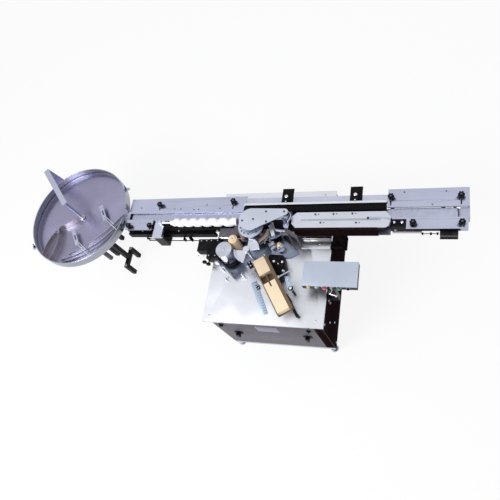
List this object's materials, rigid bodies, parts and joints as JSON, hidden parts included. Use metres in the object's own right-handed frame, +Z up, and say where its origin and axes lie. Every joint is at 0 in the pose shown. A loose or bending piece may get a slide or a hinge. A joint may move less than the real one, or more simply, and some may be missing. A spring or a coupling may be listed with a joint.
{
  "type": "wet glue labeling machine",
  "caption": "Wet glue labeling machine: infeed turntable, slat conveyor with guide plates and feed screw, rotary glue head with label magazine, press belt and control box on a cabinet",
  "frame": {"origin": "on the floor under the middle of the whole machine's bounding box", "axes": "X runs along the conveyor with the turntable at -X, Y points to the back of the machine, Z is up"},
  "size_m": [4.037, 1.488, 1.15],
  "materials": {
    "stainless": "brushed, grain 240",
    "table_steel": "fine brushed sheet",
    "guide_steel": "polished sheet",
    "turntable_steel": "turned and polished",
    "panel_gray": "satin gray",
    "panel_brown": "satin dark brown",
    "frame_black": "satin black powder coat",
    "drive_black": "painted black casting",
    "drive_blue": "satin blue gray",
    "plate_blue": "anodized pale blue",
    "plate_white": "bead blasted",
    "knob_black": "molded",
    "screw_white": "machined white plastic",
    "rubber_black": "matte",
    "belt_brown": "matte",
    "roller_cream": "smooth",
    "magazine_bronze": "anodized bronze brown",
    "label_cream": "stacked paper edge",
    "pusher_cream": "smooth",
    "strip_tan": "polished strip",
    "plate_blank": "blank plate, satin",
    "box_dark": "satin dark gray",
    "button_red": "gloss",
    "button_green": "gloss",
    "button_white": "gloss"
  },
  "bodies": {
    "machine": {"cabinet_frame": "stainless", "cabinet_top": "table_steel", "front_panel": "panel_gray", "cabinet_panels": "panel_brown", "levelling_feet": "rubber_black", "nameplate": "plate_blank", "main_drive": "drive_blue", "conveyor_frame": "frame_black", "conveyor_supports": "stainless", "slat_chain": "stainless", "conveyor_motor": "drive_black", "guide_knobs": "knob_black", "screw_tail_bracket": "plate_white", "screw_drive": "panel_gray", "screw_gearbox": "drive_black", "pad_brackets": "drive_black", "belt_top_plate": "plate_white", "belt_base_plate": "plate_blue", "belt_guard": "panel_brown", "press_belt": "belt_brown", "turntable_rim": "turntable_steel", "turntable_post": "guide_steel", "diverter_strip": "strip_tan", "guide_rails": "guide_steel", "rail_brackets": "guide_steel", "turntable_stand": "frame_black", "turntable_motor": "panel_gray", "head_base": "plate_blue", "head_top_plate": "plate_white", "air_valves": "stainless", "cam_box": "drive_black", "wipe_arm": "panel_gray", "glue_tray": "stainless", "magazine_channel": "magazine_bronze", "label_stack": "label_cream", "magazine_scale": "stainless", "control_box": "box_dark"},
    "turntable": {"turntable_disc": "turntable_steel"},
    "drive_sprocket": {"drive_sprocket": "drive_black"},
    "tail_sprocket": {"tail_sprocket": "drive_black"},
    "feed_screw": {"feed_screw": "screw_white"},
    "gripper_drum": {"gripper_drum": "plate_white"},
    "picker_rotor": {"picker_rotor": "plate_white"},
    "glue_roller": {"glue_roller": "roller_cream"},
    "glue_drum": {"glue_drum": "stainless"},
    "belt_drive_pulley": {"belt_drive_pulley": "stainless"},
    "belt_idler_pulley": {"belt_idler_pulley": "stainless"},
    "guide_rear_left": {"guide_rear_left": "guide_steel"},
    "guide_rear_right": {"guide_rear_right": "guide_steel"},
    "guide_front_left": {"guide_front_left": "guide_steel"},
    "guide_front_right": {"guide_front_right": "guide_steel"},
    "pressure_pad": {"pressure_pad": "rubber_black"},
    "latch_left": {"latch_left": "knob_black"},
    "latch_right": {"latch_right": "knob_black"},
    "label_pusher": {"label_pusher": "pusher_cream"},
    "clamp_screw": {"clamp_screw": "stainless"},
    "red_button": {"red_button": "button_red"},
    "green_button": {"green_button": "button_green"},
    "selector_switch": {"selector_switch": "button_white"},
    "speed_knob": {"speed_knob": "knob_black"}
  },
  "joints": [
    {"name": "turntable_spin", "type": "hinge", "parent": "machine", "child": "turntable", "pos_m": [-1.4975, 0.223, 0.851], "axis": [0, 0, 1], "continuous": true},
    {"name": "drive_sprocket_spin", "type": "hinge", "parent": "machine", "child": "drive_sprocket", "pos_m": [1.9125, 0.2195, 0.812], "axis": [0, 1, 0], "continuous": true},
    {"name": "tail_sprocket_spin", "type": "hinge", "parent": "machine", "child": "tail_sprocket", "pos_m": [-0.9145, 0.2195, 0.812], "axis": [0, 1, 0], "continuous": true},
    {"name": "feed_screw_spin", "type": "hinge", "parent": "machine", "child": "feed_screw", "pos_m": [-0.1495, 0.127, 0.912], "axis": [1, 0, 0], "continuous": true},
    {"name": "drum_spin", "type": "hinge", "parent": "machine", "child": "gripper_drum", "pos_m": [0.3255, 0.073, 0.955], "axis": [0, 0, 1], "continuous": true},
    {"name": "picker_spin", "type": "hinge", "parent": "machine", "child": "picker_rotor", "pos_m": [0.3115, -0.138, 0.905], "axis": [0, 0, 1], "continuous": true},
    {"name": "glue_roller_spin", "type": "hinge", "parent": "machine", "child": "glue_roller", "pos_m": [0.1755, -0.047, 0.9], "axis": [0, 0, 1], "continuous": true},
    {"name": "glue_drum_spin", "type": "hinge", "parent": "machine", "child": "glue_drum", "pos_m": [0.1135, -0.143, 0.9], "axis": [0, 0, 1], "continuous": true},
    {"name": "belt_drive_spin", "type": "hinge", "parent": "machine", "child": "belt_drive_pulley", "pos_m": [0.7505, 0.129, 0.9], "axis": [0, 0, 1], "continuous": true},
    {"name": "belt_idler_spin", "type": "hinge", "parent": "machine", "child": "belt_idler_pulley", "pos_m": [1.3705, 0.129, 0.9], "axis": [0, 0, 1], "continuous": true},
    {"name": "guide_rear_left_slide", "type": "slide", "parent": "machine", "child": "guide_rear_left", "axis": [0, 1, 0], "range_m": [-0.025, 0.025]},
    {"name": "guide_rear_right_slide", "type": "slide", "parent": "machine", "child": "guide_rear_right", "axis": [0, 1, 0], "range_m": [-0.025, 0.025]},
    {"name": "guide_front_left_slide", "type": "slide", "parent": "machine", "child": "guide_front_left", "axis": [0, 1, 0], "range_m": [-0.017, 0.025]},
    {"name": "guide_front_right_slide", "type": "slide", "parent": "machine", "child": "guide_front_right", "axis": [0, 1, 0], "range_m": [-0.006, 0.025]},
    {"name": "pressure_pad_slide", "type": "slide", "parent": "machine", "child": "pressure_pad", "axis": [0, 1, 0], "range_m": [-0.01, 0.01]},
    {"name": "latch_left_turn", "type": "hinge", "parent": "machine", "child": "latch_left", "pos_m": [0.1705, -0.706, 0.439], "axis": [0, 1, 0], "range_deg": [0, 90]},
    {"name": "latch_right_turn", "type": "hinge", "parent": "machine", "child": "latch_right", "pos_m": [0.7845, -0.706, 0.437], "axis": [0, 1, 0], "range_deg": [0, 90]},
    {"name": "pusher_slide", "type": "slide", "parent": "machine", "child": "label_pusher", "axis": [-0.5388, 0.8425, 0], "range_m": [0, 0.04]},
    {"name": "clamp_turn", "type": "hinge", "parent": "machine", "child": "clamp_screw", "pos_m": [0.6352, -0.32937, 0.872], "axis": [0.8425, 0.5388, 0], "range_deg": [-180, 180]},
    {"name": "red_button_press", "type": "slide", "parent": "machine", "child": "red_button", "axis": [0, 1, 0], "range_m": [0, 0.004], "stiffness_N_per_m": 300},
    {"name": "green_button_press", "type": "slide", "parent": "machine", "child": "green_button", "axis": [0, 1, 0], "range_m": [0, 0.004], "stiffness_N_per_m": 300},
    {"name": "selector_turn", "type": "hinge", "parent": "machine", "child": "selector_switch", "pos_m": [1.0485, -0.452, 0.924], "axis": [0, 1, 0], "range_deg": [-45, 45]},
    {"name": "speed_knob_turn", "type": "hinge", "parent": "machine", "child": "speed_knob", "pos_m": [1.1735, -0.452, 0.924], "axis": [0, 1, 0], "range_deg": [-135, 135]}
  ],
  "couplings": [
    {"joint": "tail_sprocket_spin", "follows": "drive_sprocket_spin", "ratio": 1},
    {"joint": "picker_spin", "follows": "drum_spin", "ratio": -1.5},
    {"joint": "glue_roller_spin", "follows": "drum_spin", "ratio": 4.2},
    {"joint": "glue_drum_spin", "follows": "drum_spin", "ratio": -2.34},
    {"joint": "belt_idler_spin", "follows": "belt_drive_spin", "ratio": 1}
  ]
}
